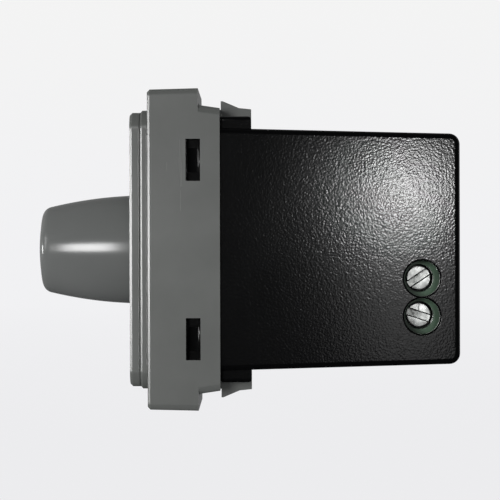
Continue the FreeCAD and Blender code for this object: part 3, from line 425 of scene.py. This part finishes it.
knob_low, knob_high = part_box("knob")
knob_foot = knob_high.y
knob_front = knob_low.y + 0.2 * MM
knob_foot_radius = knob_high.x
knob_foot_edge = 0.15 * MM
knob_tip_radius = 6.96 * MM
knob_tip_lean = 14.6
knob_bulge = 0.39 * MM
knob_edge = 1.6 * MM
knob_dome = 0.5 * MM
knob_wall = 1.35 * MM
knob_boss_radius = 4.6 * MM
knob_bore_radius = 3.05 * MM
knob_boss_end = knob_foot - 4.0 * MM
knob_recess_end = knob_foot - 10.0 * MM
knob_bore_end = knob_foot - 12.8 * MM
knob_foot_edge_steps = 4
knob_side_steps = 24
knob_edge_steps = 10
knob_dome_steps = 8
knob_turn_steps = 144
rim_start = knob_front + knob_dome + knob_edge
rim_radius = knob_tip_radius - knob_edge
side_start = knob_foot - knob_foot_edge
side_end = rim_start - knob_edge * sin(radians(knob_tip_lean))
side_end_radius = rim_radius + knob_edge * cos(radians(knob_tip_lean))
hollow_radius = knob_foot_radius - knob_wall
recess_radius = hollow_radius - knob_bulge
knob_section = [
    (0.0, knob_bore_end), (knob_bore_radius, knob_bore_end), (knob_bore_radius, knob_boss_end),
    (knob_boss_radius, knob_boss_end), (knob_boss_radius, knob_recess_end),
    (recess_radius, knob_recess_end), (recess_radius, knob_boss_end),
    (hollow_radius, knob_boss_end), (hollow_radius, knob_foot),
]
knob_section += arc(
    (knob_foot_radius - knob_foot_edge, side_start), knob_foot_edge, 90, 0, knob_foot_edge_steps
)
for index in range(1, knob_side_steps + 1):
    share = index / knob_side_steps
    swell = 4 * knob_bulge * share * (1 - share)
    radius = knob_foot_radius + (side_end_radius - knob_foot_radius) * share + swell
    knob_section.append((radius, side_start + (side_end - side_start) * share))
knob_section += arc((rim_radius, rim_start), knob_edge, -knob_tip_lean, -90, knob_edge_steps)[1:]
for index in range(1, knob_dome_steps + 1):
    share = 1 - index / knob_dome_steps
    knob_section.append((rim_radius * share, knob_front + knob_dome * share ** 2))
knob_plastic = plastic(
    "polished knob plastic", (0.135, 0.14, 0.137), roughness=0.18, grain_rate=900.0,
    grain_height=0.0004 * MM, pale_edge_share=0.1,
)
knob_corners, knob_faces = turned(knob_section, (0, 0, 0), (0, 1, 0), knob_turn_steps)
knob_piece = new_piece("knob_turned", knob_corners, knob_faces, knob_plastic, "knob")
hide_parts("knob")


# Push switch
# A dark base and cover hold the white plunger that the shaft's end pushes. A coil spring
# of steel wire brings the plunger and the knob back.

def wire(name, points, radius, material, body, roundness=2):
    """Round wire along points, with closed ends."""
    curve = bpy.data.curves.new(name, "CURVE")
    curve.dimensions = "3D"
    curve.bevel_depth = radius
    curve.bevel_resolution = roundness
    curve.use_fill_caps = True
    spline = curve.splines.new("POLY")
    spline.points.add(len(points) - 1)
    for point, place in zip(spline.points, points):
        point.co = (*place, 1.0)
    path = bpy.data.objects.new(name + "_path", curve)
    mesh = bpy.data.meshes.new_from_object(path)
    bpy.data.objects.remove(path)
    mesh.name = name
    mesh.materials.clear()
    mesh.materials.append(material)
    mesh.polygons.foreach_set("use_smooth", [True] * len(mesh.polygons))
    piece = bpy.data.objects.new(name, mesh)
    bpy.context.scene.collection.objects.link(piece)
    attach(piece, body)
    return piece


dress("switch_cover", dark_plastic, rounding=0.08 * MM)
dress("switch_base", dark_plastic, rounding=0.1 * MM)
dress("switch_plunger", pale_plastic, rounding=0.06 * MM)
dress("switch_terminals", tinned)
spring_low, spring_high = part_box("switch_spring")
spring_wire = 0.3 * MM
spring_turns = 4
spring_flat_end = 0.08
spring_steps = 32 * spring_turns
spring_radius = spring_high.x - spring_wire
spring_start = spring_low.y + spring_wire
spring_end = spring_high.y - spring_wire
spring_points = []
for index in range(spring_steps + 1):
    share = index / spring_steps
    turn = tau * spring_turns * share
    rise = min(1.0, max(0.0, (share - spring_flat_end) / (1 - 2 * spring_flat_end)))
    depth = spring_start + (spring_end - spring_start) * rise
    spring_points.append((spring_radius * cos(turn), depth, spring_radius * sin(turn)))
spring_piece = wire(
    "switch_spring_coil", spring_points, spring_wire, spring_steel, "module", roundness=3,
)
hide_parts("switch_spring")
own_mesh(spring_piece)


# Circuit board and insulating sheet
# A glass laminate board under green lacquer carries everything behind the switch. A grey
# fibre sheet keeps its soldered side off the housing.
board_lacquer = plastic(
    "green board lacquer", (0.03, 0.16, 0.07), roughness=0.24, grain_rate=1400.0,
    grain_height=0.004 * MM, pale_edge_share=0.5,
)
fibre = plastic(
    "grey fibre", (0.3, 0.32, 0.3), roughness=0.62, grain_rate=3000.0,
    grain_height=0.01 * MM, pale_edge_share=0.3, drift=0.12,
)
dress("main_board", board_lacquer)
dress("insulating_sheet", fibre)


# Interference choke
# Enamelled copper wire wound in layers on a black ferrite spool, to keep the switching
# noise off the mains.
ferrite = plastic(
    "sintered ferrite", (0.03, 0.03, 0.032), roughness=0.55, grain_rate=5000.0,
    grain_height=0.006 * MM, pale_edge_share=0.2, drift=0.15,
)
enamel = metal("enamelled copper", (0.72, 0.27, 0.09), roughness=0.22)
dress("choke_core", ferrite, rounding=0.1 * MM)
core_low, core_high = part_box("choke_core")
winding_low, winding_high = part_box("choke_winding")
choke_wire = 0.3 * MM
choke_layers = 3
choke_turn_steps = 24
choke_depth = (winding_low.y + winding_high.y) / 2
choke_height = (winding_low.z + winding_high.z) / 2
choke_outer = (winding_high.y - winding_low.y) / 2
coil_low = core_low.x + core_high.x - winding_high.x
coil_length = winding_high.x - coil_low - 2 * choke_wire
layer_turns = int(coil_length / (2 * choke_wire))
layer_steps = layer_turns * choke_turn_steps
lead_reach = 4.0 * MM
coil_points = [
    (winding_low.x, choke_depth + lead_reach, choke_height),
    (coil_low, choke_depth + lead_reach, choke_height),
]
for layer in range(choke_layers):
    mean = choke_outer - choke_wire * (2 * (choke_layers - 1 - layer) + 1)
    for index in range(layer_steps + 1):
        share = index / layer_steps
        across = share if layer % 2 == 0 else 1 - share
        turn = tau * layer_turns * share
        lie = coil_low + choke_wire + coil_length * across
        coil_points.append((lie, choke_depth + mean * cos(turn), choke_height + mean * sin(turn)))
winding_piece = wire("choke_coil", coil_points, choke_wire, enamel, "module")
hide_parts("choke_winding")
lead_points = [
    (winding_low.x, choke_depth - lead_reach, choke_height),
    (coil_low + choke_wire, choke_depth - lead_reach, choke_height),
]
wire("choke_lead", lead_points, choke_wire, enamel, "module")


# Capacitors, varistor and fuse
# A yellow boxed film capacitor, an electrolytic can in its sleeve, a blue dipped disc
# that clips surges, and a small fuse in a cream case.
film_case = plastic(
    "yellow capacitor case", (0.55, 0.42, 0.08), roughness=0.42, grain_rate=2600.0,
    grain_height=0.004 * MM,
)
sleeve = plastic(
    "shrunk sleeve", (0.02, 0.025, 0.06), roughness=0.2, grain_rate=1500.0,
    grain_height=0.002 * MM, pale_edge_share=0.3,
)
dipped = plastic(
    "dipped blue coat", (0.05, 0.15, 0.4), roughness=0.2, grain_rate=1500.0,
    grain_height=0.01 * MM, pale_edge_share=0.05,
)
fuse_case = plastic(
    "cream fuse case", (0.6, 0.55, 0.45), roughness=0.42, grain_rate=2600.0,
    grain_height=0.003 * MM,
)
dress("film_capacitor", film_case, rounding=0.15 * MM)
dress("smoothing_capacitor", sleeve, rounding=0.12 * MM)
dress("varistor", dipped, rounding=0.15 * MM)
dress("fuse", fuse_case, rounding=0.1 * MM)


# Heat sink, transistors and controller
# Two power transistors lie on a bent aluminium plate. A small chip in black epoxy times
# their switching.
aluminium = metal("mill-finish aluminium", (0.76, 0.77, 0.78), roughness=0.38)
epoxy = plastic(
    "moulded epoxy", (0.015, 0.015, 0.016), roughness=0.5, grain_rate=4000.0,
    grain_height=0.004 * MM,
)
dress("heat_sink", aluminium, rounding=0.06 * MM)
dress("power_transistors", epoxy, rounding=0.08 * MM)
dress("controller_chip", epoxy, rounding=0.05 * MM)


# Terminal block
# A dark green moulding with two wells. In each, a screw lifts a zinc-plated cage that
# presses the wire against a tinned strip.
# The green is darkened by painted shade round the wells and near their walls.
block_plastic = plastic(
    "green terminal plastic", (0.055, 0.115, 0.066), roughness=0.4, grain_rate=2600.0,
    grain_height=0.004 * MM, painted_shade_reach=3.0 * MM,
)
dress("terminal_block", block_plastic, rounding=0.12 * MM)
dress("terminal_strips", tinned)
dress("upper_lift_cage", zinc, rounding=0.08 * MM)
dress("lower_lift_cage", zinc, rounding=0.08 * MM)


# Terminal screws
# Two slotted M3 cheese-head screws in zinc-plated steel. Their heads and threads are turned
# and their slots are milled, with painted shade on the flared edges of the slots.
head_height = 1.7 * MM
head_edge = 0.12 * MM
head_edge_steps = 5
shank_radius = 1.5 * MM
shank_lead = 0.35 * MM
thread_pitch = 0.5 * MM
thread_depth = 0.16 * MM
thread_steps = 4
screw_turn_steps = 64
slot_width = 1.0 * MM
slot_depth = 0.9 * MM
slot_edge = 0.17 * MM
slot_reach = 3.0 * MM
slot_headroom = 1.0 * MM
slot_plate = metal(
    "duller zinc in the slots", (0.7, 0.72, 0.7), roughness=0.4, drift=0.35, clouded=0.3, pale_edge_share=0.0,
)
# Painted shade: a near-black finish for the flared edges of the slots.
painted_slot_shade = metal("painted shade at slot edges", (0.1, 0.1, 0.1), roughness=0.5, pale_edge_share=0.0)


def screw_section(tip, top, head_radius):
    """Half section of a screw from its head's top to its tip, along the screw's axis."""
    head_foot = top - head_height
    section = [(0.0, top)]
    section += arc((head_radius - head_edge, top - head_edge), head_edge, 90, 0, head_edge_steps)
    section += [(head_radius, head_foot), (shank_radius, head_foot)]
    reach = head_foot - tip - shank_lead
    steps = int(reach / (thread_pitch / thread_steps))
    for index in range(1, steps + 1):
        in_groove = index % thread_steps >= thread_steps / 2
        radius = shank_radius - (thread_depth if in_groove else 0.0)
        section.append((radius, head_foot - reach * index / steps))
    return section + [(shank_radius - shank_lead, tip), (0.0, tip)]


def mill_slot(piece, place, angle):
    """Mills a slot with a slightly flared mouth across a screw's head."""
    half_slot = slot_width / 2
    half_mouth = half_slot + slot_edge
    side = [
        (-slot_depth, -half_slot), (-slot_edge, -half_slot), (0.0, -half_mouth),
        (slot_headroom, -half_mouth), (slot_headroom, half_mouth), (0.0, half_mouth),
        (-slot_edge, half_slot), (-slot_depth, half_slot),
    ]
    flared_faces = (3, 7)
    count = len(side)
    corners = [(rise, along, across) for along in (-slot_reach, slot_reach) for rise, across in side]
    faces = [tuple(range(count)), tuple(reversed(range(count, 2 * count)))]
    for index in range(count):
        following = (index + 1) % count
        faces.append((index, index + count, following + count, following))
    mesh = bpy.data.meshes.new("slot_cutter")
    mesh.from_pydata(corners, [], faces)
    mesh.materials.append(slot_plate)
    mesh.materials.append(painted_slot_shade)
    # The flared mouth faces get the near-black finish: painted shade along the slot's edges.
    for index in flared_faces:
        mesh.polygons[index].material_index = 1
    cutter = bpy.data.objects.new("slot_cutter", mesh)
    bpy.context.scene.collection.objects.link(cutter)
    cutter.matrix_world = Matrix.Translation(place) @ Matrix.Rotation(radians(angle), 4, "X")
    cut = piece.modifiers.new("slot", "BOOLEAN")
    cut.object = cutter
    cut.operation = "DIFFERENCE"
    cut.material_mode = "TRANSFER"
    bpy.context.view_layer.update()
    milled = piece.evaluated_get(bpy.context.evaluated_depsgraph_get())
    finished = bpy.data.meshes.new_from_object(milled)
    piece.modifiers.clear()
    piece.data = finished
    creased(finished)
    bpy.data.objects.remove(cutter)


for which, angle in (("upper", 34.0), ("lower", -18.0)):
    node = which + "_terminal_screw"
    low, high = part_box(node)
    axis_y, axis_z = (low.y + high.y) / 2, (low.z + high.z) / 2
    section = screw_section(low.x, high.x, (high.z - low.z) / 2)
    corners, faces = turned(section, (0, axis_y, axis_z), (1, 0, 0), screw_turn_steps)
    screw_plate = metal(
        "zinc " + which + " screw", (0.82, 0.84, 0.82), roughness=0.34, drift=0.35, clouded=0.3,
    )
    piece = new_piece(which + "_screw_turned", corners, faces, screw_plate, which + "_screw")
    mill_slot(piece, (high.x, axis_y, axis_z), angle)
    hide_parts(node)


# Rear housing
# A closed black box in glass-filled nylon that snaps into the front frame. It has the
# coarse spark texture of its tool and round edges, but for those at the frame's seam.
housing_plastic = plastic(
    "black spark-textured plastic", (0.0025, 0.0026, 0.0028), roughness=0.13, grain_rate=3000.0,
    grain_height=0.0104 * MM, pale_edge_share=0.0, octaves=1.0,
)
housing_seam = 3.4 * MM
dress("rear_housing", housing_plastic, rounding=0.2 * MM, sharp_at=housing_seam)


# Floor, lamps and camera
# The module hangs over a wide pale floor in a pale room that is dark behind the camera.
# A large soft lamp stands at the knob's side and a small one beside the camera.
floor_height = -0.06
floor_reach = 30.0
floor_mesh = bpy.data.meshes.new("floor")
floor_mesh.from_pydata(
    [
        (-floor_reach, -floor_reach, floor_height), (floor_reach, -floor_reach, floor_height),
        (floor_reach, floor_reach, floor_height), (-floor_reach, floor_reach, floor_height),
    ],
    [], [(0, 1, 2, 3)],
)
floor = bpy.data.objects.new("floor", floor_mesh)
bpy.context.scene.collection.objects.link(floor)


def seen_share(tree, mirrored, bounced):
    """One for camera and glass rays, one share for mirror rays and one for light that bounces on."""
    path = put(tree, "LightPath").outputs
    direct = reckon(tree, "MAXIMUM", path["Is Camera Ray"], path["Is Transmission Ray"])
    gloss = reckon(tree, "MULTIPLY", path["Is Glossy Ray"], mirrored)
    soft = reckon(tree, "MULTIPLY", path["Is Diffuse Ray"], bounced)
    return reckon(tree, "MAXIMUM", direct, reckon(tree, "MAXIMUM", gloss, soft))


horizon_pale = (0.88, 0.88, 0.896, 1.0)
floor_paper = bpy.data.materials.new("pale paper")
floor_paper.use_nodes = True
floor_tree = floor_paper.node_tree
floor_shader = floor_tree.nodes["Principled BSDF"]
floor_spot = put(floor_tree, "SeparateXYZ", {"Vector": own_place(floor_tree)}).outputs["X"]
floor_mirrored = put(
    floor_tree, "MapRange",
    {"Value": floor_spot, "From Min": -0.35, "From Max": -0.02, "To Min": 0.3, "To Max": 0.0},
    interpolation_type="SMOOTHSTEP",
).outputs["Result"]
floor_bounce = put(
    floor_tree, "MapRange",
    {"Value": floor_spot, "From Min": 0.0, "From Max": 0.25, "To Min": 0.85, "To Max": 0.05},
).outputs["Result"]
floor_near = put(
    floor_tree, "MapRange", {"Value": floor_spot, "From Min": -1.6, "From Max": -0.3}
).outputs["Result"]
floor_pale = blended(floor_tree, floor_near, horizon_pale, (0.84, 0.84, 0.856, 1.0))
floor_tree.links.new(floor_pale, floor_shader.inputs["Emission Color"])
floor_glow = seen_share(floor_tree, floor_mirrored, floor_bounce)
floor_tree.links.new(floor_glow, floor_shader.inputs["Emission Strength"])
floor_underside = put(floor_tree, "NewGeometry").outputs["Backfacing"]
floor_tree.links.new(reckon(floor_tree, "SUBTRACT", 1.0, floor_underside), floor_shader.inputs["Alpha"])
floor_shader.inputs["Base Color"].default_value = (0.0, 0.0, 0.0, 1.0)
floor_shader.inputs["Roughness"].default_value = 0.9
floor_shader.inputs["Specular IOR Level"].default_value = 0.0
floor_paper.cycles.emission_sampling = "NONE"
floor_mesh.materials.append(floor_paper)

room_bounce = 0.14
room = bpy.data.worlds.new("room")
room.use_nodes = True
room.cycles.sampling_method = "NONE"
bpy.context.scene.world = room
room_tree = room.node_tree
room_tree.nodes.clear()
room_ray = put(room_tree, "TexCoord").outputs["Generated"]
room_parts = put(room_tree, "SeparateXYZ", {"Vector": room_ray}).outputs
room_height = put(
    room_tree, "MapRange", {"Value": room_parts["Z"], "From Min": 0.0, "From Max": 0.12}
).outputs["Result"]
room_pale = blended(room_tree, room_height, horizon_pale, (0.9, 0.9, 0.9, 1.0))
room_dark_side = put(
    room_tree, "MapRange",
    {"Value": room_parts["X"], "From Min": -0.3, "From Max": 0.1, "To Min": 0.3, "To Max": 0.0},
    interpolation_type="SMOOTHSTEP",
).outputs["Result"]
room_ceiling = put(
    room_tree, "MapRange",
    {"Value": room_parts["Z"], "From Min": 0.2, "From Max": 0.7, "To Min": 1.0, "To Max": 0.35},
).outputs["Result"]
room_mirrored = reckon(room_tree, "MULTIPLY", room_dark_side, room_ceiling)
room_glow = seen_share(room_tree, room_mirrored, room_bounce)
room_look = put(room_tree, "Background", {"Color": room_pale, "Strength": room_glow})
put(room_tree, "OutputWorld", {"Surface": room_look.outputs[0]})


lamp_aim = Vector((0.0, 0.008, 0.0))


def lamp(name, place, width, height, radiance, mirrored=True):
    """Flat soft lamp at a place, facing the module, seen in its gloss or not."""
    light = bpy.data.lights.new(name, "AREA")
    light.shape = "RECTANGLE"
    light.size = width
    light.size_y = height
    light.energy = pi * width * height * radiance
    holder = bpy.data.objects.new(name, light)
    holder.location = place
    holder.visible_glossy = mirrored
    facing = lamp_aim - Vector(place)
    holder.rotation_euler = facing.to_track_quat("-Z", "Y").to_euler()
    bpy.context.scene.collection.objects.link(holder)


lamp("key", (0.933, -0.358, 0.02), 0.28, 0.42, 20.5)
lamp("key_side", (0.554, -0.79, 0.26), 0.4, 0.5, 3.0)
lamp("front", (-0.059, -0.998, 0.01), 0.2, 0.16, 26.0)
lamp("beside_camera", (0.312, 0.0568, 0.0165), 0.014, 0.016, 58.0)
lamp("below_camera", (0.312, 0.058, -0.02), 0.03, 0.04, 1.1)
lamp("above", (0.1, 0.1, 1.2), 0.8, 0.8, 1.5, mirrored=False)
lamp("front_left", (-0.8, -0.9, 0.4), 0.8, 0.8, 3.0, mirrored=False)
lamp("behind", (-0.5, 1.0, 0.3), 0.8, 0.8, 2.5, mirrored=False)

camera_place = Vector((0.312, 0.0081, 0.001))
camera_aim = Vector((0.0124, 0.0081, -0.0001))
camera_roll = radians(0.17)
camera_data = bpy.data.cameras.new("camera")
camera_data.sensor_width = 36.0
camera_data.lens = 138.24
camera_data.clip_end = 100.0
camera = bpy.data.objects.new("camera", camera_data)
facing = (camera_aim - camera_place).to_track_quat("-Z", "Y").to_matrix().to_4x4()
rolled = Matrix.Rotation(-camera_roll, 4, "Z")
camera.matrix_world = Matrix.Translation(camera_place) @ facing @ rolled
bpy.context.scene.collection.objects.link(camera)
bpy.context.scene.camera = camera
bpy.context.scene.view_settings.view_transform = "Standard"
